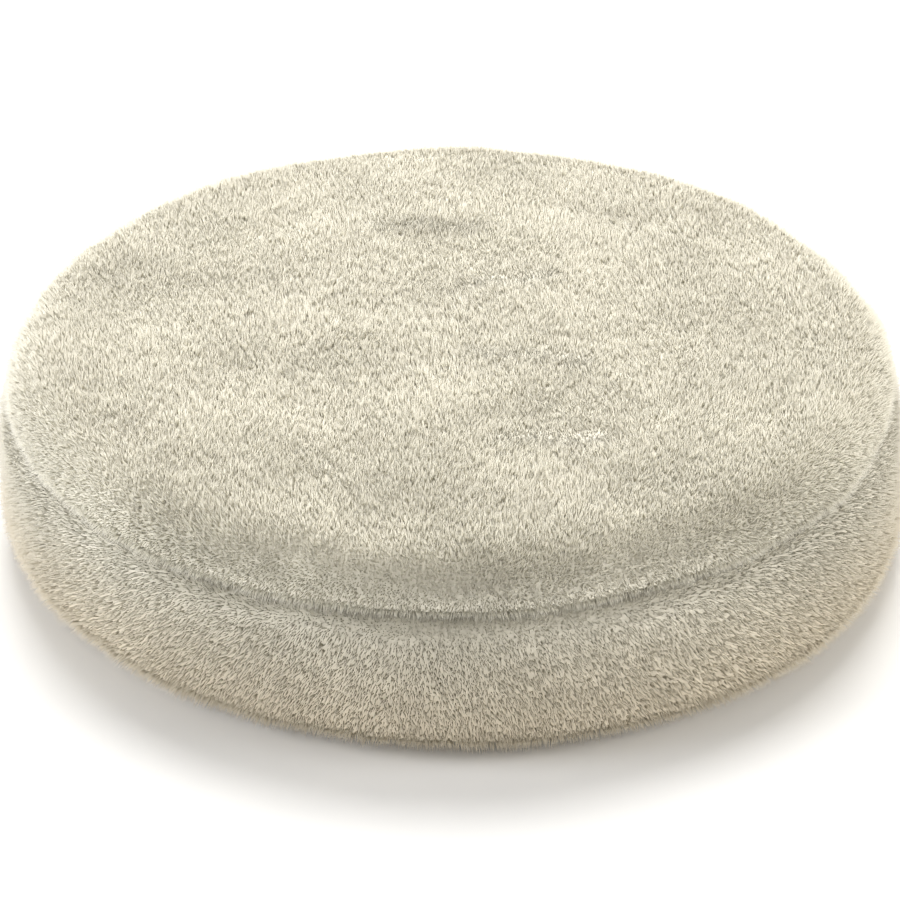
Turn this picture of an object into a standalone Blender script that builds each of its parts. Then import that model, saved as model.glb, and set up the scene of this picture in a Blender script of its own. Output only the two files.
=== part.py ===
"""Lambswool polishing pad: a fleece cover over a soft foam core, with a hook-and-loop back.

The pad lies on its back. +Z points up through the wool face, and the origin is at the centre of
the underside. The two ends of the fleece side band meet at the back, on +Y. Lengths are in
metres, and every round piece has the same number of facets at the same angles, so that the gaps
between nested pieces are even all round.
"""

import math

import bmesh
import bpy
from mathutils import Matrix, Vector

MM = 0.001

# Driving dimensions.
PAD_RADIUS = 75 * MM  # over the wool at the side
PAD_HEIGHT = 36 * MM  # from the loops to the top of the wool
LOOP_FIELD_RADIUS = 58.2 * MM  # takes the hooks of a 125 mm backing plate
CORE_HEIGHT = 13.1 * MM  # foam, uncompressed
CORE_RADIUS = 62.4 * MM
GAP = 0.3 * MM  # kept between pieces that touch
FACETS = 64

# Thicknesses of the flat layers.
LOOPS = 1.5 * MM
CLOTH = 0.6 * MM
FILM = 0.3 * MM
STIFFENER = 1.5 * MM
HIDE = 1.0 * MM
TAPE = 0.5 * MM

# Heights of the layers, from the underside up.
CLOTH_BASE = LOOPS + GAP
LOOP_FILM_BASE = CLOTH_BASE + CLOTH + GAP
STIFFENER_BASE = LOOP_FILM_BASE + FILM + GAP
STIFFENER_TOP = STIFFENER_BASE + STIFFENER
HEM_BASE = STIFFENER_TOP + GAP
CORE_BASE = HEM_BASE + HIDE + GAP
CORE_TOP = CORE_BASE + CORE_HEIGHT
FACE_FILM_BASE = CORE_TOP + GAP
FACE_HIDE_BASE = FACE_FILM_BASE + FILM + GAP
FACE_HIDE_TOP = FACE_HIDE_BASE + HIDE
FACE_PILE_BASE = FACE_HIDE_TOP + GAP

# Radii of the cover and of the layers under it.
HIDE_INNER = CORE_RADIUS + GAP
HIDE_OUTER = HIDE_INNER + HIDE
HEM_INNER = 50 * MM  # the side band's hide is turned in under the core as far as this
BACK_RADIUS = CORE_RADIUS + 0.1 * MM  # loop cloth and stiffener
FILM_RADIUS = 60 * MM

# Sewing thread. It lies on the hide, with the wool's roots outside it.
THREAD_RADIUS = 0.22 * MM
THREAD_LINE = HIDE_OUTER + GAP + THREAD_RADIUS
PILE_ROOT = THREAD_LINE + THREAD_RADIUS + GAP
SHOULDER_STITCHES = 90
BINDING_STITCHES = 72
SIDE_STITCHES = 11


def clear_scene():
    for obj in list(bpy.data.objects):
        bpy.data.objects.remove(obj, do_unlink=True)


def material(name, colour, roughness):
    made = bpy.data.materials.new(name)
    made.use_nodes = True
    shader = made.node_tree.nodes["Principled BSDF"]
    shader.inputs["Base Color"].default_value = (*colour, 1.0)
    shader.inputs["Roughness"].default_value = roughness
    shader.inputs["Metallic"].default_value = 0.0
    return made


def arc(centre_r, centre_z, radius, start, end, steps):
    """Points of an arc in the (r, z) half plane, from one angle to another in degrees."""
    points = []
    for i in range(steps + 1):
        angle = math.radians(start + (end - start) * i / steps)
        points.append((centre_r + radius * math.cos(angle), centre_z + radius * math.sin(angle)))
    return points


def add_object(name, mesh, finish):
    obj = bpy.data.objects.new(name, mesh)
    bpy.context.scene.collection.objects.link(obj)
    mesh.materials.append(finish)
    return obj


def turned(name, profile, finish):
    """A closed body: a closed (r, z) profile spun once round Z."""
    bm = bmesh.new()
    verts = [bm.verts.new((r, 0.0, z)) for r, z in profile]
    edges = [bm.edges.new((a, b)) for a, b in zip(verts, verts[1:] + verts[:1])]
    bmesh.ops.spin(
        bm, geom=verts + edges, cent=(0, 0, 0), axis=(0, 0, 1), angle=2 * math.pi, steps=FACETS, use_merge=True
    )
    bmesh.ops.remove_doubles(bm, verts=bm.verts, dist=0.001 * MM)
    bmesh.ops.recalc_face_normals(bm, faces=bm.faces)
    mesh = bpy.data.meshes.new(name)
    bm.to_mesh(mesh)
    bm.free()
    mesh.shade_smooth()
    mesh.set_sharp_from_angle(angle=math.radians(35))
    return add_object(name, mesh, finish)


def disc(name, radius, base, thickness, finish):
    return turned(name, [(0, base), (radius, base), (radius, base + thickness), (0, base + thickness)], finish)


def thread(name, points, closed, finish):
    """Sewing thread: a round cord through the points."""
    curve = bpy.data.curves.new(name, "CURVE")
    curve.dimensions = "3D"
    curve.bevel_depth = THREAD_RADIUS
    curve.bevel_resolution = 1
    curve.use_fill_caps = not closed
    spline = curve.splines.new("POLY")
    spline.points.add(len(points) - 1)
    for target, point in zip(spline.points, points):
        target.co = (*point, 1.0)
    spline.use_cyclic_u = closed
    return add_object(name, curve, finish)


def on_circle(radius, angle, z):
    return Vector((radius * math.cos(angle), radius * math.sin(angle), z))


def make_back(finishes):
    """The flat layers of the underside: loops, their ground cloth, glue film and stiffener."""
    edge_round = 0.5 * MM
    loops = [(0, 0), *arc(LOOP_FIELD_RADIUS - edge_round, edge_round, edge_round, -90, 0, 3)]
    loops += [(LOOP_FIELD_RADIUS, LOOPS), (0, LOOPS)]
    turned("loop_pile", loops, finishes["nylon_loop"])
    disc("loop_ground_cloth", BACK_RADIUS, CLOTH_BASE, CLOTH, finishes["nylon_loop"])
    disc("loop_adhesive_film", FILM_RADIUS, LOOP_FILM_BASE, FILM, finishes["adhesive"])
    disc("stiffener_disc", BACK_RADIUS, STIFFENER_BASE, STIFFENER, finishes["fibreboard"])


def make_edge_binding(finishes):
    """A woven tape with an L section: flat under the rim of the cloth, then up past its edge."""
    lip_inner = BACK_RADIUS + GAP
    lip_outer = lip_inner + TAPE
    inner = LOOP_FIELD_RADIUS + GAP
    base = LOOPS - TAPE
    profile = [
        (inner, base),
        (lip_outer, base),
        (lip_outer, STIFFENER_TOP),
        (lip_inner, STIFFENER_TOP),
        (lip_inner, LOOPS),
        (inner, LOOPS),
    ]
    turned("edge_binding", profile, finishes["cotton_tape"])

    # A zigzag row along the middle of the tape holds it, the cloth, the stiffener and the hem.
    zigzag_middle = (inner + lip_outer) / 2
    zigzag_half = 1.3 * MM
    z = base - GAP - THREAD_RADIUS
    points = []
    for i in range(2 * BINDING_STITCHES):
        side = 1 if i % 2 else -1
        points.append(on_circle(zigzag_middle + side * zigzag_half, math.pi * i / BINDING_STITCHES, z))
    thread("binding_thread", points, True, finishes["thread"])


def make_core(finishes):
    """The foam core. It fills the middle of the turned-in hem, down to its own glue film."""
    middle = HEM_INNER - GAP
    middle_base = HEM_BASE + FILM + GAP
    edge_round = 1.5 * MM
    profile = [
        (0, middle_base),
        (middle, middle_base),
        (middle, CORE_BASE),
        (CORE_RADIUS, CORE_BASE),
        *arc(CORE_RADIUS - edge_round, CORE_TOP - edge_round, edge_round, 0, 90, 4),
        (0, CORE_TOP),
    ]
    turned("foam_core", profile, finishes["foam"])
    disc("core_adhesive_film", middle - 1 * MM, HEM_BASE, FILM, finishes["adhesive"])
    disc("face_adhesive_film", FILM_RADIUS, FACE_FILM_BASE, FILM, finishes["adhesive"])


def box_cutter(bm, size, place):
    bmesh.ops.create_cube(bm, size=1.0, matrix=place @ Matrix.Diagonal((*size, 1.0)))


def hide_cutter():
    """Cuts the slit where the side band's ends meet, and the darts that let its hem lie flat."""
    darts = 12
    dart_width = 3.0 * MM
    slit_width = 0.6 * MM
    bm = bmesh.new()
    slit_place = Matrix.Translation((0, (HEM_INNER + HIDE_OUTER) / 2, CORE_TOP / 2))
    box_cutter(bm, (slit_width, 2 * (HIDE_OUTER - HEM_INNER), 2 * CORE_TOP), slit_place)
    for i in range(darts):
        # A dart is a square prism on its corner, so that it narrows to a point towards the bend.
        turn = Matrix.Rotation(2 * math.pi * (i + 0.5) / darts + math.pi / 2, 4, "Z")
        place = turn @ Matrix.Translation((HEM_INNER, 0, HEM_BASE + HIDE / 2))
        stretch = Matrix.Diagonal((3.0, 1.0, 1.0, 1.0)) @ Matrix.Rotation(math.pi / 4, 4, "Z")
        box_cutter(bm, (dart_width, dart_width, 4 * HIDE), place @ stretch)
    bmesh.ops.recalc_face_normals(bm, faces=bm.faces)
    mesh = bpy.data.meshes.new("hide_cutter")
    bm.to_mesh(mesh)
    bm.free()
    cutter = bpy.data.objects.new("hide_cutter", mesh)
    bpy.context.scene.collection.objects.link(cutter)
    cutter.hide_render = True
    cutter.display_type = "WIRE"
    return cutter


def make_cover_hide(finishes):
    """The leather of the fleece: a face disc, and a side band with its hem turned in."""
    disc("face_hide", HIDE_OUTER, FACE_HIDE_BASE, HIDE, finishes["hide"])

    band_top = FACE_HIDE_BASE - GAP
    bend = 1.0 * MM
    profile = [
        (HEM_INNER, HEM_BASE),
        *arc(HIDE_OUTER - bend, HEM_BASE + bend, bend, -90, 0, 3),
        (HIDE_OUTER, band_top),
        (HIDE_INNER, band_top),
        (HIDE_INNER, HEM_BASE + HIDE),
        (HEM_INNER, HEM_BASE + HIDE),
    ]
    band = turned("side_hide", profile, finishes["hide"])
    cut = band.modifiers.new("slit_and_darts", "BOOLEAN")
    cut.operation = "DIFFERENCE"
    cut.object = hide_cutter()


def make_cover_threads(finishes):
    """The overcast seam round the shoulder, and the zigzag that closes the side band."""
    joint = FACE_HIDE_BASE - GAP / 2
    reach = 1.0 * MM
    points = []
    for i in range(2 * SHOULDER_STITCHES):
        side = 1 if i % 2 else -1
        points.append(on_circle(THREAD_LINE, math.pi * i / SHOULDER_STITCHES, joint + side * reach))
    thread("shoulder_thread", points, True, finishes["thread"])

    foot = CORE_BASE + 0.5 * MM
    head = joint - 2.2 * MM
    half_width = 1.5 * MM
    points = []
    for i in range(SIDE_STITCHES + 1):
        side = 1 if i % 2 else -1
        z = foot + (head - foot) * i / SIDE_STITCHES
        points.append(on_circle(THREAD_LINE, math.pi / 2 + side * half_width / THREAD_LINE, z))
    thread("side_thread", points, False, finishes["thread"])


def make_side_pile(finishes):
    """The wool of the side band: a ring with a rounded foot, its top just under the face's lip."""
    foot_round = 6.0 * MM
    top_round = 3.6 * MM
    top_centre_z = 21.4 * MM
    profile = [
        (PILE_ROOT, 0),
        *arc(PAD_RADIUS - foot_round, foot_round, foot_round, -90, 0, 6),
        *arc(PAD_RADIUS - top_round, top_centre_z, top_round, 0, 85, 6),
        (PILE_ROOT, FACE_HIDE_TOP),
    ]
    turned("side_pile", profile, finishes["wool"])


def make_face_pile(finishes):
    """The wool of the working face: a low crown with a broad round rim, and a lip under the rim."""
    flat_radius = 34 * MM
    crown_drop = 0.8 * MM
    rim_round = 9.3 * MM
    rim_centre_r = 64.7 * MM
    rim_centre_z = PAD_HEIGHT - crown_drop - rim_round
    lip_round = 1.4 * MM
    lip_centre_r = 72.5 * MM
    lip_centre_z = rim_centre_z + 1.2 * MM
    crown = []
    for i in range(1, 4):
        share = i / 4
        r = rim_centre_r + (flat_radius - rim_centre_r) * share
        crown.append((r, PAD_HEIGHT - crown_drop * (1 - share) ** 2))
    profile = [
        (0, FACE_PILE_BASE),
        (HIDE_OUTER - 1.0 * MM, FACE_PILE_BASE),
        (HIDE_OUTER, FACE_PILE_BASE + 1.2 * MM),
        *arc(lip_centre_r, lip_centre_z, lip_round, -90, -15, 3),
        *arc(rim_centre_r, rim_centre_z, rim_round, 10, 90, 8),
        *crown,
        (flat_radius, PAD_HEIGHT),
        (0, PAD_HEIGHT),
    ]
    turned("face_pile", profile, finishes["wool"])


def main():
    clear_scene()
    finishes = {
        "wool": material("wool", (0.76, 0.72, 0.60), 0.95),
        "hide": material("hide", (0.66, 0.58, 0.44), 0.80),
        "foam": material("foam", (0.80, 0.76, 0.62), 0.95),
        "fibreboard": material("fibreboard", (0.35, 0.27, 0.18), 0.90),
        "nylon_loop": material("nylon_loop", (0.82, 0.82, 0.79), 0.70),
        "cotton_tape": material("cotton_tape", (0.80, 0.77, 0.68), 0.90),
        "adhesive": material("adhesive", (0.78, 0.66, 0.36), 0.45),
        "thread": material("thread", (0.86, 0.83, 0.74), 0.60),
    }
    make_back(finishes)
    make_edge_binding(finishes)
    make_core(finishes)
    make_cover_hide(finishes)
    make_cover_threads(finishes)
    make_side_pile(finishes)
    make_face_pile(finishes)


main()
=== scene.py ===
"""The looks of a lambswool polishing pad that lies on its loop back, wool face up.

The sections follow the pad as it is put together: the stiff back with its loop fabric and bound
edge, the foam core, the sheepskin cover and its seams, then the wool that grows out of the cover.
"""

import math

import bmesh
import bpy
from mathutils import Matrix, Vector


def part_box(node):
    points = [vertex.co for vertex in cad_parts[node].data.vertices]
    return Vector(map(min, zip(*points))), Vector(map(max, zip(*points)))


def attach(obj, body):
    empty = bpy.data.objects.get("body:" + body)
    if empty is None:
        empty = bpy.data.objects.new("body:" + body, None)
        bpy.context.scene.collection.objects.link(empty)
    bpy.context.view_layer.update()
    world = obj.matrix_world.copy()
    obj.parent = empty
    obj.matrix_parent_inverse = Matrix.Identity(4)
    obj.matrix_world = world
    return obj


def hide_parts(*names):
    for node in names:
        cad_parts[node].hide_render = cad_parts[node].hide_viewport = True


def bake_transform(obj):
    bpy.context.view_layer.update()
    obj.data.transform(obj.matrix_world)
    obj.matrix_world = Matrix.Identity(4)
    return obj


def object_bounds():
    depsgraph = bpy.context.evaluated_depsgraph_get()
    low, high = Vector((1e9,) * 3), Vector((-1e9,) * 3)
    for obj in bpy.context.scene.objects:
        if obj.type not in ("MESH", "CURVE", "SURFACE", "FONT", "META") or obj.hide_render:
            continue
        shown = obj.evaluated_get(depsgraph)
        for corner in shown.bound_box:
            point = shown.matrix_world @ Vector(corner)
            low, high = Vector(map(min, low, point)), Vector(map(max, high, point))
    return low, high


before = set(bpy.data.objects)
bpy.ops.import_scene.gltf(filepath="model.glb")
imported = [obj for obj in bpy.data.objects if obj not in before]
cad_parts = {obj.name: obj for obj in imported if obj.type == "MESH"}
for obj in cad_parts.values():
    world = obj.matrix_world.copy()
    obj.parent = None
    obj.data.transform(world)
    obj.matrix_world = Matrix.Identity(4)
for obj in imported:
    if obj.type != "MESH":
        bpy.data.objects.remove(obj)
cad_box = [list(corner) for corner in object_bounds()]
MM = 0.001


# ---------------------------------------------------------------------------------------------
# Stiffener and glue. The stiffener is a disc of pressed fibreboard, brown and faintly flecked.
# The three glue films are contact adhesive, rolled on thin and dried to a patchy honey skin.
# They lie flat between the layers, so the frame's own discs are right and get their finish here.


def add_node(tree, kind, inputs=None, **settings):
    """One node of a shader or geometry tree, with its inputs set or linked."""
    made = tree.nodes.new(kind)
    for setting, value in settings.items():
        setattr(made, setting, value)
    for socket, value in (inputs or {}).items():
        if isinstance(value, bpy.types.NodeSocket):
            tree.links.new(value, made.inputs[socket])
        else:
            made.inputs[socket].default_value = value
    return made


def maths(tree, operation, *values):
    """The output of a Math node on numbers or sockets."""
    return add_node(tree, "ShaderNodeMath", dict(enumerate(values)), operation=operation).outputs[0]


def vector(tree, operation, *values):
    """The output of a Vector Math node on vectors or sockets."""
    return add_node(tree, "ShaderNodeVectorMath", dict(enumerate(values)), operation=operation).outputs[0]


def scaled(tree, value, by):
    """A vector made longer or shorter."""
    return add_node(tree, "ShaderNodeVectorMath", {0: value, "Scale": by}, operation="SCALE").outputs[0]


def noise(tree, place, scale, detail):
    """A noise texture's outputs: first its factor, then its colour."""
    return add_node(tree, "ShaderNodeTexNoise", {"Vector": place, "Scale": scale, "Detail": detail}).outputs


def blended(tree, share, first, second, way="MIX"):
    """The colour between the first and the second, by a share."""
    inputs = {0: share, 6: first, 7: second}
    return add_node(tree, "ShaderNodeMix", inputs, data_type="RGBA", blend_type=way).outputs[2]


def new_group(name, kind, inputs, outputs):
    """An empty node group with named sockets, and its input and output nodes."""
    group = bpy.data.node_groups.new(name, kind)
    for label, socket_type in inputs:
        group.interface.new_socket(label, in_out="INPUT", socket_type=socket_type)
    for label, socket_type in outputs:
        group.interface.new_socket(label, in_out="OUTPUT", socket_type=socket_type)
    return group, group.nodes.new("NodeGroupInput").outputs, group.nodes.new("NodeGroupOutput").inputs


def make_fleck_group():
    """Fine uneven flecks: a mask from 0 to 1, and a height for the Bump node."""
    group, given, result = new_group(
        "flecks",
        "ShaderNodeTree",
        [
            ("Coarse Scale", "NodeSocketFloat"),
            ("Fine Scale", "NodeSocketFloat"),
            ("Stretch", "NodeSocketVector"),
        ],
        [("Mask", "NodeSocketFloat"), ("Height", "NodeSocketFloat")],
    )
    place = add_node(group, "ShaderNodeTexCoord").outputs["Object"]
    place = vector(group, "MULTIPLY", place, given["Stretch"])
    coarse = noise(group, place, given["Coarse Scale"], 4.0)[0]
    fine = noise(group, place, given["Fine Scale"], 3.0)[0]
    both = maths(group, "ADD", coarse, fine)
    mask = add_node(group, "ShaderNodeMapRange", {0: both, 1: 0.75, 2: 1.25}).outputs[0]
    group.links.new(mask, result["Mask"])
    group.links.new(fine, result["Height"])
    return group


flecks = make_fleck_group()


def flecked_material(name, dark, light, roughness, coarse, fine, bump, stretch=(1, 1, 1)):
    """A Principled finish whose colour runs from dark to light with the flecks."""
    made = bpy.data.materials.new(name)
    made.use_nodes = True
    tree = made.node_tree
    shader = tree.nodes["Principled BSDF"]
    shader.inputs["Roughness"].default_value = roughness
    marks = add_node(tree, "ShaderNodeGroup", node_tree=flecks)
    marks.inputs["Coarse Scale"].default_value = coarse
    marks.inputs["Fine Scale"].default_value = fine
    marks.inputs["Stretch"].default_value = stretch
    mixed = blended(tree, marks.outputs["Mask"], (*dark, 1), (*light, 1))
    tree.links.new(mixed, shader.inputs["Base Color"])
    raised = add_node(tree, "ShaderNodeBump", {"Height": marks.outputs["Height"], "Distance": bump})
    tree.links.new(raised.outputs[0], shader.inputs["Normal"])
    return made


def give_finish(piece, material):
    """Puts one material on every slot of a frame node or a piece."""
    if not piece.material_slots:
        piece.data.materials.append(material)
    for held in piece.material_slots:
        held.material = material


fibreboard = flecked_material(
    "fibreboard",
    dark=(0.24, 0.17, 0.10),
    light=(0.42, 0.32, 0.21),
    roughness=0.92,
    coarse=160,
    fine=1400,
    bump=0.1 * MM,
)
give_finish(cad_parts["stiffener_disc"], fibreboard)
dried_glue = flecked_material(
    "dried_glue",
    dark=(0.62, 0.47, 0.20),
    light=(0.83, 0.73, 0.45),
    roughness=0.42,
    coarse=90,
    fine=500,
    bump=0.05 * MM,
)
for film in ("loop_adhesive_film", "core_adhesive_film", "face_adhesive_film"):
    give_finish(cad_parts[film], dried_glue)


# ---------------------------------------------------------------------------------------------
# Loop fabric. A warp-knitted nylon cloth with a mat of fine brushed loops that the backing
# plate's hooks catch. The cloth is glued to the stiffener; the loops are knitted into it and
# stand about as high as they are wide. The pad rests on them.

LOOPS_PER_MM2 = 0.33
LOOP_SPAN = 1.6 * MM
LOOP_THREAD = 0.085 * MM
NYLON = (0.72, 0.72, 0.69)
# The cloth under the loops is painted darker than the loops: painted shade under the loops.
NYLON_PAINTED_SHADE = (0.46, 0.46, 0.44)

loop_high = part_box("loop_pile")[1]
loop_field = loop_high.x


def point(tree, x=0.0, y=0.0, z=0.0):
    """A vector made of three numbers or sockets."""
    return add_node(tree, "ShaderNodeCombineXYZ", {0: x, 1: y, 2: z}).outputs[0]


def turned(name, profile, facets):
    """A closed body: an outline of (r, z, growth) points, anticlockwise, turned round Z.

    growth says where pile grows. A point on the axis is one vertex, and every face points out.
    """
    places = []
    growth = []
    rings = []
    for r, z, grows in profile:
        around = facets if r > 0 else 1
        rings.append([len(places) + i % around for i in range(facets)])
        growth += [grows] * around
        for i in range(around):
            angle = 2 * math.pi * i / facets
            places.append((r * math.cos(angle), r * math.sin(angle), z))
    faces = []
    for ring, following in zip(rings, rings[1:] + rings[:1]):
        for i in range(facets):
            j = (i + 1) % facets
            corners = dict.fromkeys((ring[i], ring[j], following[j], following[i]))
            if len(corners) > 2:
                faces.append(list(corners))
    mesh = bpy.data.meshes.new(name)
    mesh.from_pydata(places, [], faces)
    mesh.attributes.new("growth", "FLOAT", "POINT").data.foreach_set("value", growth)
    mesh.shade_smooth()
    made = bpy.data.objects.new(name, mesh)
    bpy.context.scene.collection.objects.link(made)
    return made


def run(r0, z0, r1, z1, steps, grows):
    """Points along a straight stretch of an outline, without its last point."""
    return [(r0 + (r1 - r0) * i / steps, z0 + (z1 - z0) * i / steps, grows) for i in range(steps)]


def arc(centre_r, centre_z, radius, start, end, steps, grows):
    """Points along a round stretch of an outline, with its last point, angles in degrees."""
    points = []
    for i in range(steps + 1):
        angle = math.radians(start + (end - start) * i / steps)
        points.append((centre_r + radius * math.cos(angle), centre_z + radius * math.sin(angle), grows))
    return points


def add_tree(piece, tree, values):
    """Adds a geometry tree to a piece as a modifier, with its inputs set by identifier."""
    made = piece.modifiers.new(tree.name, "NODES")
    made.node_group = tree
    for item in tree.interface.items_tree:
        if item.item_type == "SOCKET" and item.in_out == "INPUT" and item.name in values:
            made[item.identifier] = values[item.name]


def settle(piece, name):
    """A plain mesh object of what the piece's modifiers make; the piece itself goes."""
    evaluated = piece.evaluated_get(bpy.context.evaluated_depsgraph_get())
    mesh = bpy.data.meshes.new_from_object(evaluated)
    made = bpy.data.objects.new(name, mesh)
    bpy.context.scene.collection.objects.link(made)
    if piece.data.materials:
        give_finish(made, piece.data.materials[0])
    bpy.data.objects.remove(piece, do_unlink=True)
    made.name = name
    mesh.name = name
    return made


def carried(tree, name, kind="FLOAT"):
    """A value that each point of the mesh carries, by its name."""
    return add_node(tree, "GeometryNodeInputNamedAttribute", {"Name": name}, data_type=kind).outputs[0]


def make_relief_tree():
    """Moves a surface along its normals: broad swells, then lumps a tuft or a cell wide."""
    tree, given, result = new_group(
        "relief",
        "GeometryNodeTree",
        [
            ("Geometry", "NodeSocketGeometry"),
            ("Swell", "NodeSocketFloat"),
            ("Swell Scale", "NodeSocketFloat"),
            ("Lump", "NodeSocketFloat"),
            ("Lump Scale", "NodeSocketFloat"),
            ("Along", "NodeSocketFloat"),
        ],
        [("Geometry", "NodeSocketGeometry")],
    )
    total = 0.0
    for height, scale in (("Swell", "Swell Scale"), ("Lump", "Lump Scale")):
        rough = add_node(tree, "ShaderNodeTexNoise", {"Scale": given[scale], "Detail": 2.0}).outputs[0]
        total = maths(tree, "MULTIPLY_ADD", maths(tree, "SUBTRACT", rough, 0.5), given[height], total)
    normal = add_node(tree, "GeometryNodeInputNormal").outputs[0]
    offset = scaled(tree, normal, maths(tree, "MULTIPLY", total, carried(tree, "growth")))
    moved = {"Geometry": given["Geometry"], "Offset": offset}
    moved = add_node(tree, "GeometryNodeSetPosition", moved).outputs[0]
    for name, value, kind in (("along", given["Along"], "FLOAT"), ("bed_normal", normal, "FLOAT_VECTOR")):
        moved = add_node(
            tree,
            "GeometryNodeStoreNamedAttribute",
            {"Geometry": moved, "Name": name, "Value": value},
            data_type=kind,
            domain="POINT",
        ).outputs[0]
    tree.links.new(moved, result["Geometry"])
    return tree


relief = make_relief_tree()

# The cloth and the loop mat get the darker nylon: painted shade under the loops, with random flecks.
knit = flecked_material(
    "nylon_knit",
    dark=NYLON_PAINTED_SHADE,
    light=NYLON,
    roughness=0.75,
    coarse=700,
    fine=2600,
    bump=0.15 * MM,
    stretch=(1, 2.2, 1),
)
nylon = flecked_material(
    "nylon_loops",
    dark=NYLON,
    light=(0.90, 0.90, 0.88),
    roughness=0.42,
    coarse=300,
    fine=1500,
    bump=0.02 * MM,
)
nylon.node_tree.nodes["Principled BSDF"].inputs["Sheen Weight"].default_value = 0.25
give_finish(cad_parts["loop_ground_cloth"], knit)

mat_top = loop_high.z
mat_low = mat_top - 0.5 * MM
loop_mat = turned(
    "loop_mat",
    run(0, mat_low, loop_field, mat_low, 90, 1) + run(loop_field, mat_low, loop_field, mat_top, 1, 0)
    + run(loop_field, mat_top, 0, mat_top, 1, 0) + [(0, mat_top, 0)],
    256,
)
give_finish(loop_mat, knit)
add_tree(loop_mat, relief, {"Swell": 0.0, "Swell Scale": 1.0, "Lump": 0.5 * MM, "Lump Scale": 700.0})
loop_mat = settle(loop_mat, "loop_mat")


def make_loop_tree():
    """Stands small arched loops on a surface, each turned and tipped its own way."""
    tree, given, result = new_group(
        "brushed_loops",
        "GeometryNodeTree",
        [
            ("Geometry", "NodeSocketGeometry"),
            ("Loops per m2", "NodeSocketFloat"),
            ("Span", "NodeSocketFloat"),
            ("Height", "NodeSocketFloat"),
            ("Thread", "NodeSocketFloat"),
            ("Seed", "NodeSocketInt"),
            ("Material", "NodeSocketMaterial"),
        ],
        [("Geometry", "NodeSocketGeometry")],
    )
    density = maths(tree, "MULTIPLY", given["Loops per m2"], carried(tree, "growth"))
    feet = add_node(
        tree,
        "GeometryNodeDistributePointsOnFaces",
        {"Mesh": given["Geometry"], "Density": density, "Seed": given["Seed"]},
        distribute_method="RANDOM",
    )
    # A loop's feet stand closer than it is wide. It rises three quarters of its handles' height.
    half = maths(tree, "MULTIPLY", given["Span"], 0.5)
    rise = maths(tree, "MULTIPLY", given["Height"], 1.33)
    foot_share = 0.55
    loop_ends = {
        "Start": point(tree, maths(tree, "MULTIPLY", half, -foot_share)),
        "Start Handle": point(tree, half, 0.0, rise),
        "End Handle": point(tree, maths(tree, "MULTIPLY", half, -1.0), 0.0, rise),
        "End": point(tree, maths(tree, "MULTIPLY", half, foot_share)),
    }
    spine = add_node(
        tree, "GeometryNodeCurvePrimitiveBezierSegment", {"Resolution": 7, **loop_ends}, mode="POSITION"
    )
    ring = add_node(
        tree, "GeometryNodeCurvePrimitiveCircle", {"Resolution": 3, "Radius": given["Thread"]}, mode="RADIUS"
    )
    loop = add_node(
        tree,
        "GeometryNodeCurveToMesh",
        {"Curve": spine.outputs[0], "Profile Curve": ring.outputs[0], "Fill Caps": True},
    ).outputs[0]
    loop = add_node(tree, "GeometryNodeSetShadeSmooth", {"Geometry": loop}).outputs[0]
    facing = add_node(
        tree, "FunctionNodeAlignRotationToVector", {"Vector": feet.outputs["Normal"]}, axis="Z"
    ).outputs[0]
    tip = add_node(
        tree,
        "FunctionNodeRandomValue",
        {"Min": (-0.7, -0.7, 0.0), "Max": (0.7, 0.7, 2 * math.pi), "Seed": given["Seed"]},
        data_type="FLOAT_VECTOR",
    ).outputs[0]
    turn = add_node(
        tree, "FunctionNodeRotateRotation", {0: facing, 1: tip}, rotation_space="LOCAL"
    ).outputs[0]
    smallest = 0.65
    largest = 1.1
    size = {2: smallest, 3: largest, "Seed": given["Seed"]}
    size = add_node(tree, "FunctionNodeRandomValue", size, data_type="FLOAT")
    stood = add_node(
        tree,
        "GeometryNodeInstanceOnPoints",
        {"Points": feet.outputs["Points"], "Instance": loop, "Rotation": turn, "Scale": size.outputs[1]},
    ).outputs[0]
    plain = add_node(tree, "GeometryNodeRealizeInstances", {0: stood}).outputs[0]
    place = add_node(tree, "GeometryNodeInputPosition").outputs[0]
    # Nothing is a metre away, so only z changes: what is under the table's top is lifted to it.
    pressed = vector(tree, "MAXIMUM", place, (-1.0, -1.0, 0.03 * MM))
    plain = add_node(tree, "GeometryNodeSetPosition", {"Geometry": plain, "Position": pressed}).outputs[0]
    painted = add_node(tree, "GeometryNodeSetMaterial", {"Geometry": plain, "Material": given["Material"]})
    tree.links.new(painted.outputs[0], result["Geometry"])
    return tree


loops_ground = turned(
    "loops_ground",
    run(0, mat_low, loop_field - LOOP_SPAN / 2, mat_low, 1, 1) + [(loop_field - LOOP_SPAN / 2, mat_low, 1)]
    + [(loop_field - LOOP_SPAN / 2, mat_top, 0), (0, mat_top, 0)],
    128,
)
add_tree(
    loops_ground,
    make_loop_tree(),
    {
        "Loops per m2": LOOPS_PER_MM2 / MM**2,
        "Span": LOOP_SPAN,
        "Height": mat_low - 0.05 * MM,
        "Thread": LOOP_THREAD,
        "Seed": 3,
        "Material": nylon,
    },
)
brushed_loops = settle(loops_ground, "brushed_loops")

for piece in (loop_mat, brushed_loops):
    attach(piece, "backing")
    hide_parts("loop_pile")


# ---------------------------------------------------------------------------------------------
# Edge binding. A flat woven cotton tape is folded round the rim of the back, over the loop
# cloth's raw edge. A zigzag of waxed thread sews it down, and the tape puckers at each stitch.

TAPE_STITCHES = 72
TAPE_THREAD = 0.22 * MM
COTTON = (0.74, 0.70, 0.60)
COTTON_LINT_AND_PAINTED_SHADE = (0.55, 0.51, 0.41)

tape_low, tape_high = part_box("edge_binding")
tape_inner = loop_field + 0.3 * MM
tape_outer = tape_high.x
tape_thickness = loop_high.z - tape_low.z


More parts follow.
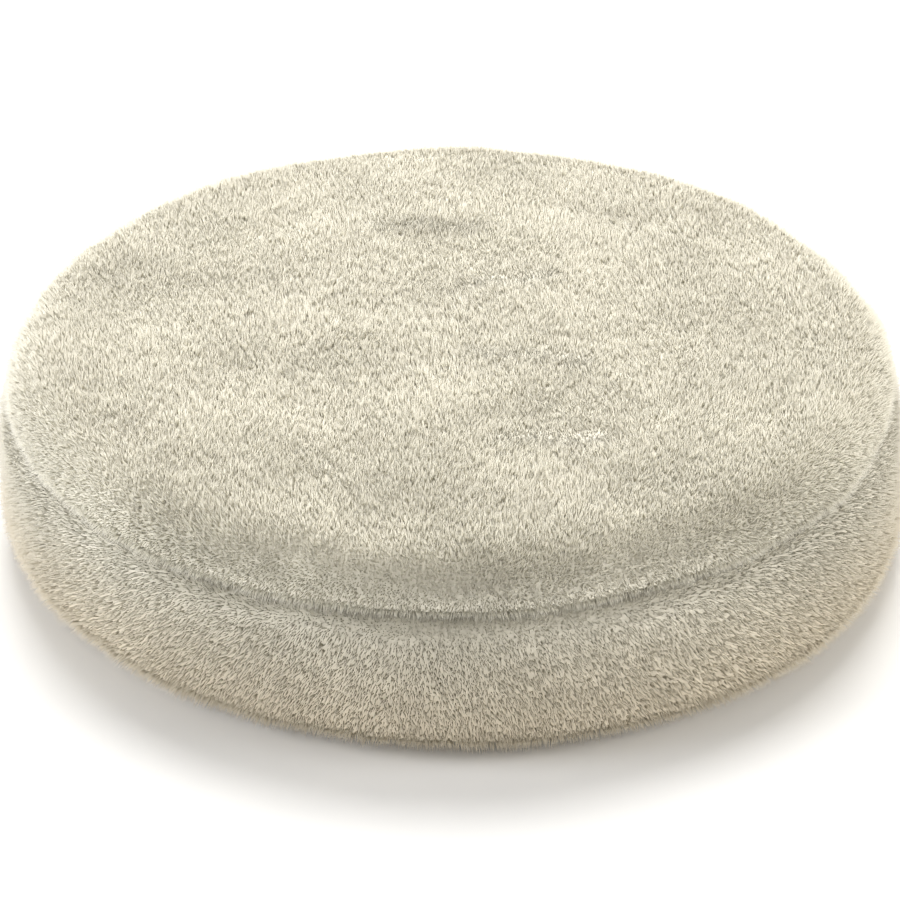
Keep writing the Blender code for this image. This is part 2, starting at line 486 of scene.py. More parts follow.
def make_weave_group():
    """A plain weave on a UV map that is measured in threads: each thread rises and dips in turn."""
    group, given, result = new_group(
        "weave",
        "ShaderNodeTree",
        [("UV", "NodeSocketVector"), ("Threads", "NodeSocketFloat")],
        [("Mask", "NodeSocketFloat"), ("Height", "NodeSocketFloat")],
    )
    counted = scaled(group, given["UV"], given["Threads"])
    split = add_node(group, "ShaderNodeSeparateXYZ", {0: counted}).outputs
    waves = [maths(group, "SINE", maths(group, "MULTIPLY", split[side], math.pi)) for side in (0, 1)]
    rounded = maths(group, "ABSOLUTE", maths(group, "MULTIPLY", *waves))
    height = maths(group, "POWER", rounded, 0.5)
    lint = noise(group, counted, 1.7, 3.0)[0]
    # The mask is lowest where the threads dip: painted shade between the threads, mixed with lint.
    mask = maths(group, "MULTIPLY_ADD", lint, 0.45, height)
    mask = add_node(group, "ShaderNodeMapRange", {0: mask, 1: 0.2, 2: 1.2}).outputs[0]
    group.links.new(mask, result["Mask"])
    group.links.new(height, result["Height"])
    return group


weave = make_weave_group()
cotton_tape = bpy.data.materials.new("cotton_tape")
cotton_tape.use_nodes = True
tape_nodes = cotton_tape.node_tree
tape_shader = tape_nodes.nodes["Principled BSDF"]
tape_shader.inputs["Roughness"].default_value = 0.9
tape_shader.inputs["Sheen Weight"].default_value = 0.2
tape_uv = add_node(tape_nodes, "ShaderNodeUVMap", uv_map="threads").outputs[0]
tape_weave = add_node(tape_nodes, "ShaderNodeGroup", node_tree=weave)
tape_weave.inputs["Threads"].default_value = 1.0
tape_nodes.links.new(tape_uv, tape_weave.inputs["UV"])
# The tape is darker in the weave's dips: painted shade, with patches of lint.
tape_colour = blended(tape_nodes, tape_weave.outputs["Mask"], (*COTTON_LINT_AND_PAINTED_SHADE, 1), (*COTTON, 1))
tape_nodes.links.new(tape_colour, tape_shader.inputs["Base Color"])
tape_relief = {"Height": tape_weave.outputs["Height"], "Distance": 0.12 * MM}
tape_relief = add_node(tape_nodes, "ShaderNodeBump", tape_relief)
tape_nodes.links.new(tape_relief.outputs[0], tape_shader.inputs["Normal"])


def make_tape():
    """The folded tape, with its weave's threads counted along u and across v."""
    facets = 8 * TAPE_STITCHES
    threads_per_m = 2200
    pucker = 0.12 * MM
    bend = 0.45 * MM
    top = tape_high.z
    low = tape_low.z
    lip = tape_outer - tape_thickness
    outline = run(tape_inner, low, tape_outer - bend, low, 12, 1)
    outline += arc(tape_outer - bend, low + bend, bend, -90, 0, 5, 0)
    outline += [(tape_outer, top, 0), (lip, top, 0), (lip, low + tape_thickness, 0)]
    outline += [(tape_inner, low + tape_thickness, 0)]
    piece = turned("edge_tape", outline, facets)
    mesh = piece.data
    travelled = mesh.uv_layers.new(name="threads")
    for polygon in mesh.polygons:
        middle = math.atan2(polygon.center.y, polygon.center.x)
        for corner in polygon.loop_indices:
            place = mesh.vertices[mesh.loops[corner].vertex_index].co
            angle = math.atan2(place.y, place.x)
            angle += 2 * math.pi * round((middle - angle) / (2 * math.pi))
            across = math.hypot(place.x, place.y) + place.z
            along = angle * (tape_inner + tape_outer) / 2
            travelled.data[corner].uv = (along * threads_per_m, across * threads_per_m)
    middle_r = (tape_inner + tape_outer) / 2
    for vert in mesh.vertices:
        radius = math.hypot(vert.co.x, vert.co.y)
        angle = math.atan2(vert.co.y, vert.co.x)
        if vert.co.z < low + 0.1 * MM:
            near_row = math.exp(-(((radius - middle_r) / (1.4 * MM)) ** 2))
            vert.co.z += pucker * near_row * math.cos(angle * TAPE_STITCHES) ** 2
    return piece


edge_tape = make_tape()
give_finish(edge_tape, cotton_tape)
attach(edge_tape, "backing")
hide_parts("edge_binding")

waxed_thread = flecked_material(
    "waxed_thread",
    dark=(0.66, 0.61, 0.49),
    light=(0.86, 0.83, 0.74),
    roughness=0.5,
    coarse=500,
    fine=3500,
    bump=0.06 * MM,
)


def make_zigzag_tree():
    """One arched stitch on each point of a ring, leaning the other way every time."""
    tree, given, result = new_group(
        "zigzag_row",
        "GeometryNodeTree",
        [
            ("Geometry", "NodeSocketGeometry"),
            ("Stitches", "NodeSocketInt"),
            ("Radius", "NodeSocketFloat"),
            ("Height", "NodeSocketFloat"),
            ("Half Length", "NodeSocketFloat"),
            ("Arch", "NodeSocketFloat"),
            ("Lean", "NodeSocketFloat"),
            ("Thread", "NodeSocketFloat"),
            ("Material", "NodeSocketMaterial"),
        ],
        [("Geometry", "NodeSocketGeometry")],
    )
    ring = {"Vertices": given["Stitches"], "Radius": given["Radius"]}
    ring = add_node(tree, "GeometryNodeMeshCircle", ring).outputs[0]
    lifted = point(tree, z=given["Height"])
    ring = add_node(tree, "GeometryNodeSetPosition", {"Geometry": ring, "Offset": lifted}).outputs[0]
    front = given["Half Length"]
    back = maths(tree, "MULTIPLY", front, -1.0)
    stitch_ends = {
        "Start": point(tree, back, 0.0, given["Arch"]),
        "Start Handle": point(tree, back),
        "End Handle": point(tree, front),
        "End": point(tree, front, 0.0, given["Arch"]),
    }
    spine = add_node(
        tree, "GeometryNodeCurvePrimitiveBezierSegment", {"Resolution": 8, **stitch_ends}, mode="POSITION"
    ).outputs[0]
    section = add_node(
        tree, "GeometryNodeCurvePrimitiveCircle", {"Resolution": 7, "Radius": given["Thread"]}, mode="RADIUS"
    ).outputs[0]
    stitch = add_node(
        tree, "GeometryNodeCurveToMesh", {"Curve": spine, "Profile Curve": section, "Fill Caps": True}
    ).outputs[0]
    stitch = add_node(tree, "GeometryNodeSetShadeSmooth", {"Geometry": stitch}).outputs[0]
    index = add_node(tree, "GeometryNodeInputIndex").outputs[0]
    sign = maths(tree, "MULTIPLY_ADD", maths(tree, "MODULO", index, 2.0), 2.0, -1.0)
    share = maths(tree, "DIVIDE", index, given["Stitches"])
    angle = maths(tree, "MULTIPLY", share, 2 * math.pi)
    euler = point(tree, z=maths(tree, "MULTIPLY_ADD", sign, given["Lean"], angle))
    stood = add_node(
        tree, "GeometryNodeInstanceOnPoints", {"Points": ring, "Instance": stitch, "Rotation": euler}
    ).outputs[0]
    plain = add_node(tree, "GeometryNodeRealizeInstances", {0: stood}).outputs[0]
    painted = add_node(tree, "GeometryNodeSetMaterial", {"Geometry": plain, "Material": given["Material"]})
    tree.links.new(painted.outputs[0], result["Geometry"])
    return tree


row_radius = (tape_inner + tape_outer) / 2
stitch_along = math.pi * row_radius / TAPE_STITCHES / 2
row_seat = bpy.data.objects.new("row_seat", bpy.data.meshes.new("row_seat"))
bpy.context.scene.collection.objects.link(row_seat)
add_tree(
    row_seat,
    make_zigzag_tree(),
    {
        "Stitches": 2 * TAPE_STITCHES,
        "Radius": row_radius,
        "Height": tape_low.z - TAPE_THREAD * 0.6,
        "Half Length": 1.35 * MM,
        "Arch": 0.35 * MM,
        "Lean": math.atan2(stitch_along, 1.3 * MM),
        "Thread": TAPE_THREAD,
        "Material": waxed_thread,
    },
)
tape_stitches = settle(row_seat, "tape_stitches")
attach(tape_stitches, "backing")
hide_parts("binding_thread")


# ---------------------------------------------------------------------------------------------
# Foam core. Open-cell polyurethane foam, cut as a disc with a softened top edge and a boss that
# fills the middle of the cover's hem. It is what gives when the face is pressed.

core_low, core_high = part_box("foam_core")
hem_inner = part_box("core_adhesive_film")[1].x + 1.0 * MM
core_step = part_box("side_hide")[0].z + 1.3 * MM
core_round = 1.5 * MM
foam_outline = run(0, core_low.z, hem_inner, core_low.z, 30, 0)
foam_outline += run(hem_inner, core_low.z, hem_inner, core_step, 2, 0)
foam_outline += run(hem_inner, core_step, core_high.x, core_step, 8, 0)
foam_outline += run(core_high.x, core_step, core_high.x, core_high.z - core_round, 16, 1)
foam_outline += arc(core_high.x - core_round, core_high.z - core_round, core_round, 0, 90, 5, 1)
foam_outline += run(core_high.x - core_round, core_high.z, 0, core_high.z, 60, 1)[1:] + [(0, core_high.z, 1)]
foam_block = turned("foam_block", foam_outline, 192)
cut_foam = flecked_material(
    "cut_foam",
    dark=(0.66, 0.60, 0.44),
    light=(0.86, 0.82, 0.68),
    roughness=0.95,
    coarse=900,
    fine=2400,
    bump=0.5 * MM,
)
give_finish(foam_block, cut_foam)
foam_cells = {"Swell": 0.1 * MM, "Swell Scale": 120.0, "Lump": 0.25 * MM, "Lump Scale": 900.0}
add_tree(foam_block, relief, foam_cells)
foam_block = settle(foam_block, "foam_block")
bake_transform(foam_block)
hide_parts("foam_core")


# ---------------------------------------------------------------------------------------------
# Sheepskin cover. The leather side of the fleece, tanned pale and left rough: a disc for the
# face, and a band for the side whose hem is darted and turned in under the core. Linen thread
# overcasts the two together at the shoulder, and a zigzag closes the band's ends at the back.

suede = flecked_material(
    "suede",
    dark=(0.55, 0.45, 0.31),
    light=(0.74, 0.66, 0.51),
    roughness=0.88,
    coarse=140,
    fine=1800,
    bump=0.12 * MM,
)
give_finish(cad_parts["face_hide"], suede)
give_finish(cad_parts["shoulder_thread"], waxed_thread)


def pressed_copy(node, name, material):
    """A frame node's shape as a piece of its own, tied to no body; the part it stands for shortens as the
    face is pressed.
    """
    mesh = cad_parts[node].data.copy()
    bm = bmesh.new()
    bm.from_mesh(mesh)
    bmesh.ops.remove_doubles(bm, verts=bm.verts, dist=0.001 * MM)
    bm.to_mesh(mesh)
    bm.free()
    mesh.name = name
    made = bpy.data.objects.new(name, mesh)
    bpy.context.scene.collection.objects.link(made)
    give_finish(made, material)
    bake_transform(made)
    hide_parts(node)
    return made


pressed_copy("side_hide", "side_band_hide", suede)
pressed_copy("side_thread", "side_zigzag", waxed_thread)


# ---------------------------------------------------------------------------------------------
# Wool. Both piles are the same sheared lambswool: fine crimped fibres that lie together in
# tufts about a millimetre across. A dense lumpy bed stands for the pile's depth, and free
# fibres grow out of it, cream at the tip and darker and yellower towards the skin: painted shade
# deep in the pile.

TUFTS_PER_MM2 = 1.0
FIBRE_LENGTH = 1.65 * MM
FIBRE_RADIUS = 0.065 * MM
SHORTEST_SHARE = 0.72
TALLEST_SHARE = 1.12
BED_DEPTH = 1.3 * MM
BED_SHADING = 0.5
GATHER = 0.2
NAP = 0.55
STRAY = 0.4
CRIMP = 0.8 * MM
PARTING_WIDTH = 2.2 * MM
PARTING_PUSH = 0.9
# How much darker fibres are painted in a parting: painted shade in the crease.
PARTING_PAINTED_SHADE = -5.0
# Noise scales, in waves to the metre.
DRIFT_WAVES = 45.0
LEAN_WAVES = 420.0
TONE_WAVES = 600.0
HEIGHT_WAVES = 800.0
CRIMP_WAVES = 900.0
WOOL_TIP = (0.88, 0.845, 0.74)
# The root colour is darker and yellower than the tip: painted shade deep in the pile.
WOOL_ROOT_PAINTED_SHADE = (0.80, 0.755, 0.60)
FOOT_TINT = (1.0, 0.92, 0.83)
FOOT_HEIGHT = 24 * MM


def make_wool_tone_group():
    """Wool's colour: from painted root shade to the tip along a fibre, warmer and darker towards the bottom,
    darker or lighter from tuft to tuft, and darker with the tone's painted shade.
    """
    group, given, result = new_group(
        "wool_tone",
        "ShaderNodeTree",
        [
            ("Painted Root Shade", "NodeSocketColor"),
            ("Tip", "NodeSocketColor"),
            ("Foot", "NodeSocketColor"),
            ("Foot Height", "NodeSocketFloat"),
            ("Along", "NodeSocketFloat"),
            ("Tone", "NodeSocketFloat"),
        ],
        [("Color", "NodeSocketColor")],
    )
    place = add_node(group, "ShaderNodeTexCoord").outputs["Object"]
    height = add_node(group, "ShaderNodeSeparateXYZ", {0: place}).outputs[2]
    low = {0: height, 1: given["Foot Height"], 2: 0.0}
    low = add_node(group, "ShaderNodeMapRange", low).outputs[0]
    wool = blended(group, given["Along"], given["Painted Root Shade"], given["Tip"])
    wool = blended(group, low, wool, given["Foot"], "MULTIPLY")
    patch = noise(group, place, 55.0, 3.0)[0]
    both = maths(group, "MULTIPLY_ADD", given["Tone"], 0.5, patch)
    shade = {0: both, 1: 0.3, 2: 1.2, 3: 0.97, 4: 1.03}
    shade = add_node(group, "ShaderNodeMapRange", shade, clamp=False).outputs[0]
    toned = add_node(group, "ShaderNodeHueSaturation", {"Color": wool, "Value": shade})
    group.links.new(toned.outputs[0], result["Color"])
    return group


wool_tone = make_wool_tone_group()


def wool_material(name, root, tip):
    """A wool finish for free fibres, which carry how far along they are and a tone each; the tone holds
    painted shade in partings and on the side.
    """
    made = bpy.data.materials.new(name)
    made.use_nodes = True
    tree = made.node_tree
    shader = tree.nodes["Principled BSDF"]
    shader.inputs["Roughness"].default_value = 0.8
    shader.inputs["Specular IOR Level"].default_value = 0.15
    shader.inputs["Sheen Weight"].default_value = 0.2
    shader.inputs["Sheen Roughness"].default_value = 0.5
    toned = add_node(tree, "ShaderNodeGroup", node_tree=wool_tone)
    toned.inputs["Painted Root Shade"].default_value = (*root, 1)
    toned.inputs["Tip"].default_value = (*tip, 1)
    toned.inputs["Foot"].default_value = (*FOOT_TINT, 1)
    toned.inputs["Foot Height"].default_value = FOOT_HEIGHT
    for label in ("Along", "Tone"):
        read = add_node(tree, "ShaderNodeAttribute", attribute_name=label.lower())
        tree.links.new(read.outputs["Fac"], toned.inputs[label])
    tree.links.new(toned.outputs[0], shader.inputs["Base Color"])
    # A fibre is round and far finer than its mesh, so its shading leans to that of the pile.
    bed = add_node(tree, "ShaderNodeAttribute", attribute_name="bed_normal").outputs["Vector"]
    to_world = {"vector_type": "NORMAL", "convert_from": "OBJECT", "convert_to": "WORLD"}
    bed = add_node(tree, "ShaderNodeVectorTransform", {0: bed}, **to_world).outputs[0]
    own = add_node(tree, "ShaderNodeNewGeometry").outputs["Normal"]
    facing = {0: BED_SHADING, 4: own, 5: bed}
    facing = add_node(tree, "ShaderNodeMix", facing, data_type="VECTOR").outputs[1]
    tree.links.new(vector(tree, "NORMALIZE", facing), shader.inputs["Normal"])
    return made


def make_fibre_tree():
    """Grows fibres on a bed, gathers them into tufts and bends them the way the nap lies."""
    tree, given, result = new_group(
        "wool_fibres",
        "GeometryNodeTree",
        [
            ("Geometry", "NodeSocketGeometry"),
            ("Partings", "NodeSocketObject"),
            ("Fibres per m2", "NodeSocketFloat"),
            ("Tufts per m2", "NodeSocketFloat"),
            ("Length", "NodeSocketFloat"),
            ("Radius", "NodeSocketFloat"),
            ("Gather", "NodeSocketFloat"),
            ("Nap", "NodeSocketFloat"),
            ("Crimp", "NodeSocketFloat"),
            ("Parting Width", "NodeSocketFloat"),
            ("Lean Out", "NodeSocketFloat"),
            ("Painted Shade Shift", "NodeSocketFloat"),
            ("Seed", "NodeSocketInt"),
            ("Material", "NodeSocketMaterial"),
        ],
        [("Geometry", "NodeSocketGeometry")],
    )

    def chance(low, high, step):
        drawn = {2: low, 3: high, "Seed": maths(tree, "ADD", given["Seed"], step)}
        return add_node(tree, "FunctionNodeRandomValue", drawn, data_type="FLOAT").outputs[1]

    def waves(place, scale, detail):
        middle = (0.5, 0.5, 0.5)
        return vector(tree, "SUBTRACT", noise(tree, place, scale, detail)[1], middle)

    def keep(geometry, name, value, kind):
        stored = {"Geometry": geometry, "Name": name, "Value": value}
        stored = add_node(tree, "GeometryNodeStoreNamedAttribute", stored, data_type=kind, domain="POINT")
        return stored.outputs[0]

    def scatter(per_m2, seed):
        density = maths(tree, "MULTIPLY", per_m2, carried(tree, "growth"))
        return add_node(
            tree,
            "GeometryNodeDistributePointsOnFaces",
            {"Mesh": given["Geometry"], "Density": density, "Seed": seed},
            distribute_method="RANDOM",
        ).outputs

    here = add_node(tree, "GeometryNodeInputPosition").outputs[0]
    roots = scatter(given["Fibres per m2"], given["Seed"])
    tufts = scatter(given["Tufts per m2"], 1)["Points"]

    # Each root finds its tuft, and how far away the nearest parting of the pile is.
    nearest = {"Geometry": tufts, "Sample Position": here}
    nearest = add_node(tree, "GeometryNodeSampleNearest", nearest).outputs[0]
    tuft = {"Geometry": tufts, "Value": here, "Index": nearest}
    tuft = add_node(tree, "GeometryNodeSampleIndex", tuft, data_type="FLOAT_VECTOR").outputs[0]
    lines = add_node(tree, "GeometryNodeObjectInfo", {"Object": given["Partings"]}).outputs["Geometry"]
    line = add_node(tree, "GeometryNodeProximity", {0: lines}, target_element="EDGES").outputs
    away = vector(tree, "SUBTRACT", here, line["Position"])
    gone = maths(tree, "DIVIDE", line["Distance"], given["Parting Width"])
    squared = maths(tree, "MULTIPLY", gone, gone)
    opening = maths(tree, "EXPONENT", maths(tree, "MULTIPLY", squared, -1.0))
    opening = maths(tree, "MULTIPLY", opening, line["Is Valid"])
    push = maths(tree, "MULTIPLY", maths(tree, "MULTIPLY", opening, gone), PARTING_PUSH)
    apart = scaled(tree, vector(tree, "NORMALIZE", away), push)
    outward = scaled(tree, vector(tree, "NORMALIZE", here), given["Lean Out"])

    # The nap: a broad drift, each tuft's own lean, and a little of each fibre's own.
    drift = scaled(tree, waves(tuft, DRIFT_WAVES, 1.0), 1.6)
    lean = scaled(tree, waves(tuft, LEAN_WAVES, 2.0), 1.5)
    stray = {
        "Min": (-STRAY, -STRAY, -STRAY),
        "Max": (STRAY, STRAY, STRAY),
        "Seed": maths(tree, "ADD", given["Seed"], 11),
    }
    stray = add_node(tree, "FunctionNodeRandomValue", stray, data_type="FLOAT_VECTOR").outputs[0]
    nap = vector(tree, "ADD", vector(tree, "ADD", drift, lean), stray)
    nap = vector(tree, "ADD", scaled(tree, nap, given["Nap"]), apart)
    nap = vector(tree, "ADD", nap, outward)

    # What each fibre carries: its lean, the way to its tuft, the bed's normal and a tone, which
    # holds painted shade in partings and on the side.
    points = keep(roots["Points"], "nap", nap, "FLOAT_VECTOR")
    points = keep(points, "to_tuft", vector(tree, "SUBTRACT", tuft, here), "FLOAT_VECTOR")
    points = keep(points, "bed_normal", roots["Normal"], "FLOAT_VECTOR")
    tuft_tone = noise(tree, tuft, TONE_WAVES, 0.0)[0]
    tone = maths(tree, "MULTIPLY_ADD", tuft_tone, 0.8, chance(0.0, 0.4, 7))
    # Fibres in a parting are painted darker: painted shade in the crease.
    tone = maths(tree, "MULTIPLY_ADD", opening, PARTING_PAINTED_SHADE, tone)
    # The shift paints a whole batch darker: painted shade on the pad's side.
    tone = maths(tree, "ADD", tone, given["Painted Shade Shift"])
    points = keep(points, "tone", tone, "FLOAT")

    # A fibre's height: its own, its tuft's, and a little less in a parting.
    tuft_height = maths(tree, "MULTIPLY_ADD", noise(tree, tuft, HEIGHT_WAVES, 1.0)[0], 0.5, 0.75)
    tall = maths(tree, "MULTIPLY", chance(SHORTEST_SHARE, TALLEST_SHARE, 5), tuft_height)
    tall = maths(tree, "MULTIPLY", tall, maths(tree, "MULTIPLY_ADD", opening, -0.2, 1.0))

    # One fibre: a three-sided spike.
    spike = {
        "Vertices": 3,
        "Side Segments": 1,
        "Radius Top": 0.0,
        "Radius Bottom": given["Radius"],
        "Depth": given["Length"],
    }
    spike = add_node(tree, "GeometryNodeMeshCone", spike, fill_type="NGON").outputs[0]
    height = add_node(tree, "ShaderNodeSeparateXYZ", {0: here}).outputs[2]
    spike = keep(spike, "along", maths(tree, "DIVIDE", height, given["Length"]), "FLOAT")
    spike = add_node(tree, "GeometryNodeSetShadeSmooth", {"Geometry": spike}).outputs[0]

    # It stands on each root, turned about its own axis.
    upright = {"Vector": roots["Normal"]}
    upright = add_node(tree, "FunctionNodeAlignRotationToVector", upright, axis="Z").outputs[0]
    twist = {0: upright, 1: point(tree, z=chance(0.0, 2 * math.pi, 3))}
    twist = add_node(tree, "FunctionNodeRotateRotation", twist, rotation_space="LOCAL").outputs[0]
    size = point(tree, 1.0, 1.0, tall)
    grown = {"Points": points, "Instance": spike, "Rotation": twist, "Scale": size}
    grown = add_node(tree, "GeometryNodeInstanceOnPoints", grown).outputs[0]
    plain = add_node(tree, "GeometryNodeRealizeInstances", {0: grown}).outputs[0]

    # Bending grows towards the tip, as does the crimp that shakes it.
    share = carried(tree, "along")
    gathered = maths(tree, "MULTIPLY", share, given["Gather"])
    gathered = scaled(tree, carried(tree, "to_tuft", "FLOAT_VECTOR"), gathered)
    reach = maths(tree, "MULTIPLY", maths(tree, "MULTIPLY", share, share), given["Length"])
    bent = scaled(tree, carried(tree, "nap", "FLOAT_VECTOR"), reach)
    shaken = maths(tree, "MULTIPLY", share, given["Crimp"])
    shaken = scaled(tree, waves(here, CRIMP_WAVES, 1.0), shaken)
    offset = vector(tree, "ADD", vector(tree, "ADD", gathered, bent), shaken)
    plain = add_node(tree, "GeometryNodeSetPosition", {"Geometry": plain, "Offset": offset}).outputs[0]

    # Fibres under the pad are pressed flat on what it rests on.
    pressed = vector(tree, "MAXIMUM", here, point(tree, -1.0, -1.0, 0.05 * MM))
    plain = add_node(tree, "GeometryNodeSetPosition", {"Geometry": plain, "Position": pressed}).outputs[0]
    painted = add_node(tree, "GeometryNodeSetMaterial", {"Geometry": plain, "Material": given["Material"]})
    tree.links.new(painted.outputs[0], result["Geometry"])
    return tree


fibre_tree = make_fibre_tree()


def grow_fibres(bed, name, partings, per_mm2, material, seed, length, lean_out, painted_shade_shift):
    """One batch of free fibres on a bed, as a plain mesh."""
    soil = bed.copy()
    bpy.context.scene.collection.objects.link(soil)
    add_tree(
        soil,
        fibre_tree,
        {
            "Partings": partings,
            "Fibres per m2": per_mm2 / MM**2,
            "Tufts per m2": TUFTS_PER_MM2 / MM**2,
            "Length": length,
            "Radius": FIBRE_RADIUS,
            "Gather": GATHER,
            "Nap": NAP,
            "Crimp": CRIMP,
            "Parting Width": PARTING_WIDTH,
            "Lean Out": lean_out,
            "Painted Shade Shift": painted_shade_shift,
            "Seed": seed,
            "Material": material,
        },
    )
    return settle(soil, name)


def parting_lines(name, lines):
    """Where the pile parts: lines on the bed, as loose edges that the fibres lean away from."""
    bm = bmesh.new()
    for line in lines:
        verts = [bm.verts.new(point) for point in line]
        for pair in zip(verts, verts[1:]):
            bm.edges.new(pair)
    mesh = bpy.data.meshes.new(name)
    bm.to_mesh(mesh)
    bm.free()
    made = bpy.data.objects.new(name, mesh)
    bpy.context.scene.collection.objects.link(made)
    return made


# ---------------------------------------------------------------------------------------------
# Side wool. A band of fleece round the core, its pile bulging out over the hide. It meets the
# face's pile along the shoulder seam, and its foot is squashed on the table. Its fibres are a
# little shorter than the face's and lean outwards, and they are painted darker: painted shade
# on the pad's side.

SIDE_FIBRES_PER_MM2 = 7.5
SIDE_BATCHES = 3
SIDE_FIBRE_LENGTH = 0.8 * FIBRE_LENGTH
SIDE_LEAN_OUT = 0.5
# How much darker the side's fibres are painted: painted shade on the pad's side.
SIDE_PAINTED_SHADE = -5.0

side_low, side_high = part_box("side_pile")
face_low, face_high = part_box("face_pile")
shoulder_z = side_high.z
hide_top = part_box("face_hide")[1].z
side_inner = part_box("side_thread")[1].y + 0.3 * MM
foot_round = 6.0 * MM
bed_r = side_high.x - BED_DEPTH
bed_foot_round = foot_round - BED_DEPTH
foot_r = side_high.x - foot_round
foot_z = side_low.z + 1.9 * MM
top_round = 4 * MM
top_r = bed_r - top_round
top_z = shoulder_z - 0.4 * MM
side_outline = run(side_inner, foot_z, foot_r, foot_z, 6, 1)
side_outline += arc(foot_r, foot_z + bed_foot_round, bed_foot_round, -90, 0, 5, 1)
side_outline += run(bed_r, foot_z + foot_round, bed_r, top_z - top_round, 12, 1)
side_outline += arc(top_r, top_z - top_round, top_round, 0, 90, 9, 1)
side_outline += run(top_r, top_z, side_inner, hide_top - 0.2 * MM, 4, 0)[1:]
side_outline += [(side_inner, hide_top - 0.2 * MM, 0)]
side_bed = turned("side_wool_bed", side_outline, 384)
# The pad has sat a little on one side: its foot bulges there.
bulge = 2.5 * MM
bulge_angle = math.radians(-40)
for vert in side_bed.data.vertices:
    angle = math.atan2(vert.co.y, vert.co.x)
    low = max(0.0, 1 - vert.co.z / top_z)
    push = bulge * low * max(0.0, math.cos(angle - bulge_angle)) ** 2
    if math.hypot(vert.co.x, vert.co.y) > bed_r - foot_round:
        vert.co += Vector((math.cos(angle), math.sin(angle), 0)) * push
side_wool = wool_material("side_wool", WOOL_ROOT_PAINTED_SHADE, WOOL_TIP)
give_finish(side_bed, side_wool)
tuft_lumps = {"Lump": 0.35 * MM, "Lump Scale": 500.0, "Along": 0.85}
add_tree(side_bed, relief, {"Swell": 1.2 * MM, "Swell Scale": 60.0, **tuft_lumps})
side_bed = settle(side_bed, "side_wool_bed")
side_pieces = [side_bed]
for batch in range(SIDE_BATCHES):
    side_pieces.append(
        grow_fibres(
            side_bed,
            f"side_wool_{batch + 1}",
            partings=None,
            per_mm2=SIDE_FIBRES_PER_MM2 / SIDE_BATCHES,
            material=side_wool,
            seed=100 + batch,
            length=SIDE_FIBRE_LENGTH,
            lean_out=SIDE_LEAN_OUT,
            painted_shade_shift=SIDE_PAINTED_SHADE,
        )
    )
for piece in side_pieces:
    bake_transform(piece)
    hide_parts("side_pile")


# ---------------------------------------------------------------------------------------------
# Face wool. The working face's pile stands up from the face's hide, rounds over at the rim and
# hangs in a lip over the shoulder seam. A few short creases cross it where it was handled; the
# pile parts along them, and its fibres there are painted darker: painted shade in the creases.

FACE_FIBRES_PER_MM2 = 12.5
FACE_BATCHES = 6
# Each crease: its middle's x and y and its length in mm, and its slant in degrees.
CREASES = [
    (-3.5, 36, 15, -4),
    (10, 16, 13, 8),
    (13, -10, 17, -6),
    (16, -36, 15, 4),
]

rim_round = 9.3 * MM - BED_DEPTH
lip_round = 2 * MM
crown_drop = 0.8 * MM
crown_z = face_high.z - BED_DEPTH
rim_r = face_high.x - BED_DEPTH - rim_round
rim_z = crown_z - crown_drop - rim_round
lip_low = shoulder_z + 0.1 * MM
lip_z = lip_low + lip_round
# The lip's small round meets the rim's large one where both lean the same way.
lip_turn = math.asin((lip_z - rim_z) / (rim_round - lip_round))
lip_r = rim_r + (rim_round - lip_round) * math.cos(lip_turn)
face_outline = run(0, face_low.z, side_inner, face_low.z, 12, 0)
face_outline += run(side_inner, face_low.z, lip_r, lip_low, 4, 0)
face_outline += arc(lip_r, lip_z, lip_round, -90, math.degrees(lip_turn), 6, 1)
face_outline += arc(rim_r, rim_z, rim_round, math.degrees(lip_turn), 90, 14, 1)[1:]
crown_steps = 56
for step in range(1, crown_steps + 1):
    share = step / crown_steps
    rise = crown_drop * (1 - (1 - share) ** 2)
    face_outline.append((rim_r * (1 - share), rim_z + rim_round + rise, 1))
face_bed = turned("face_wool_bed", face_outline, 384)
face_wool = wool_material("face_wool", WOOL_ROOT_PAINTED_SHADE, WOOL_TIP)
give_finish(face_bed, face_wool)
add_tree(face_bed, relief, {"Swell": 1.6 * MM, "Swell Scale": 45.0, **tuft_lumps})
face_bed = settle(face_bed, "face_wool_bed")


def crease_points(x, y, length, slant):
    """Points along one crease, a little wavy, at the bed's crown."""
    steps = 8
    waviness = 0.6
    waves = 9
    points = []
    for i in range(steps + 1):
        share = i / steps - 0.5
        bow = waviness * math.sin(share * waves + x)
        dx = share * length * math.cos(math.radians(slant)) - bow * math.sin(math.radians(slant))
        dy = share * length * math.sin(math.radians(slant)) + bow * math.cos(math.radians(slant))
        points.append(((x + dx) * MM, (y + dy) * MM, crown_z))
    return points


creases = parting_lines("creases", [crease_points(*crease) for crease in CREASES])
face_pieces = [face_bed]
for batch in range(FACE_BATCHES):
    face_pieces.append(
        grow_fibres(
            face_bed,
            f"face_wool_{batch + 1}",
            partings=creases,
            per_mm2=FACE_FIBRES_PER_MM2 / FACE_BATCHES,
            material=face_wool,
            seed=200 + batch,
            length=FIBRE_LENGTH,
            lean_out=0.0,
            painted_shade_shift=0.0,
        )
    )
for piece in face_pieces:
    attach(piece, "working_face")
    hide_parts("face_pile")
bpy.data.objects.remove(creases, do_unlink=True)


# ---------------------------------------------------------------------------------------------
# Studio. A plain white table under a big soft light overhead and behind, with weaker lights from
# each side and a faint one in front, so that the near side of the pad is the darkest.

bpy.ops.mesh.primitive_plane_add(size=6.0, location=(0, 0, 0))
table_top = bpy.context.object
table_top.name = "table_top"
table_finish = bpy.data.materials.new("table_finish")
table_finish.use_nodes = True
table_shader = table_finish.node_tree.nodes["Principled BSDF"]
table_shader.inputs["Base Color"].default_value = (0.93, 0.93, 0.93, 1)
table_shader.inputs["Roughness"].default_value = 0.9
give_finish(table_top, table_finish)

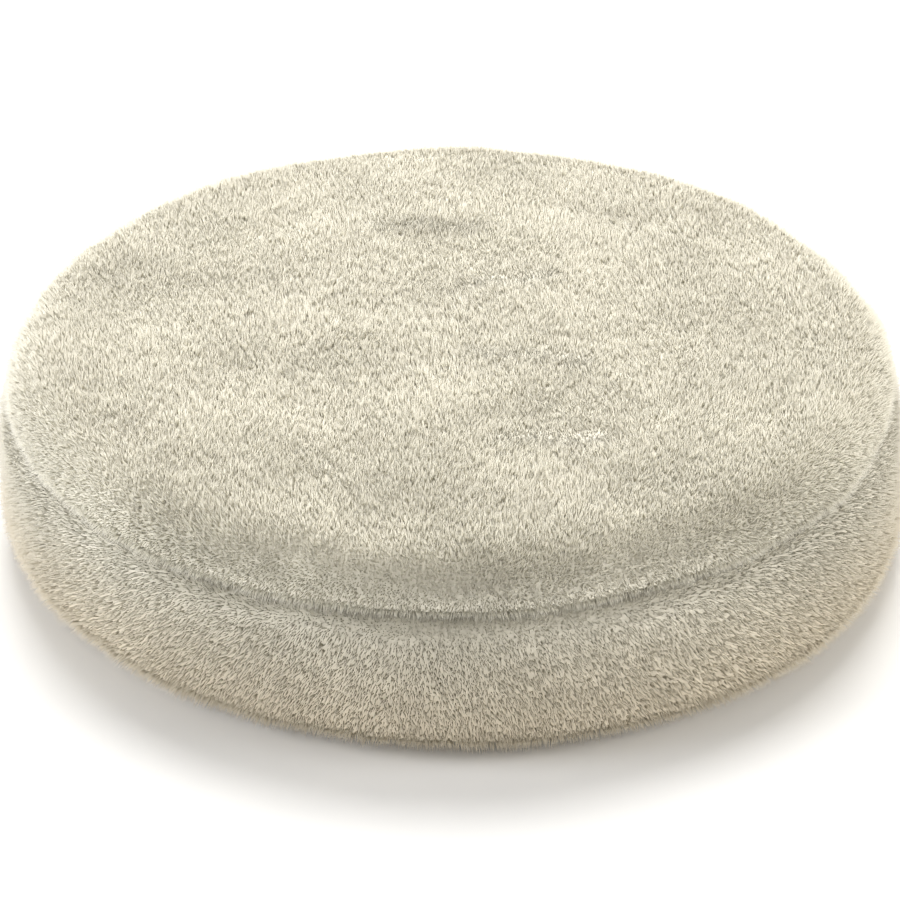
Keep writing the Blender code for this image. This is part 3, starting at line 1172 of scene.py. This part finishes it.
pad_middle = Vector((0, 0, (cad_box[0][2] + cad_box[1][2]) / 2))


def aim(holder, place, target):
    """Puts a light or the camera at a place, looking at a target."""
    holder.location = place
    holder.rotation_euler = (Vector(target) - Vector(place)).to_track_quat("-Z", "Y").to_euler()


def soft_light(name, place, watts, size, colour):
    """A round area light that looks at the middle of the pad."""
    lamp = bpy.data.lights.new(name, "AREA")
    lamp.energy = watts
    lamp.shape = "DISK"
    lamp.size = size
    lamp.color = colour
    holder = bpy.data.objects.new(name, lamp)
    bpy.context.scene.collection.objects.link(holder)
    aim(holder, place, pad_middle)


soft_light("overhead", (0.0, 0.66, 0.98), watts=19.3, size=0.9, colour=(1.0, 0.985, 0.96))
soft_light("left_fill", (-0.7, -0.15, 0.22), watts=4.2, size=0.4, colour=(0.97, 0.98, 1.0))
soft_light("right_fill", (0.7, -0.15, 0.22), watts=3.3, size=0.4, colour=(1.0, 0.98, 0.94))
soft_light("front_fill", (0.0, -0.8, 0.02), watts=1.6, size=0.3, colour=(1.0, 0.99, 0.97))

room = bpy.data.worlds.new("room")
bpy.context.scene.world = room
room.use_nodes = True
room.node_tree.nodes["Background"].inputs["Color"].default_value = (1, 0.98, 0.94, 1)
room.node_tree.nodes["Background"].inputs["Strength"].default_value = 0.305
bpy.context.scene.view_settings.view_transform = "Standard"

VIEW_ELEVATION = math.radians(30.3)
VIEW_DISTANCE = 0.55
FRAME_WIDTH = 0.1508
VIEW_SHIFT = -0.046
lens_holder = bpy.data.objects.new("camera", bpy.data.cameras.new("camera"))
bpy.context.scene.collection.objects.link(lens_holder)
bpy.context.scene.camera = lens_holder
lens_holder.data.sensor_width = 36
lens_holder.data.lens = 36 * VIEW_DISTANCE / FRAME_WIDTH
lens_holder.data.shift_y = VIEW_SHIFT
aimed_at = pad_middle + Vector((0, 0, 0.5 * MM))
back_off = Vector((0, -math.cos(VIEW_ELEVATION), math.sin(VIEW_ELEVATION)))
aim(lens_holder, aimed_at + back_off * VIEW_DISTANCE, aimed_at)
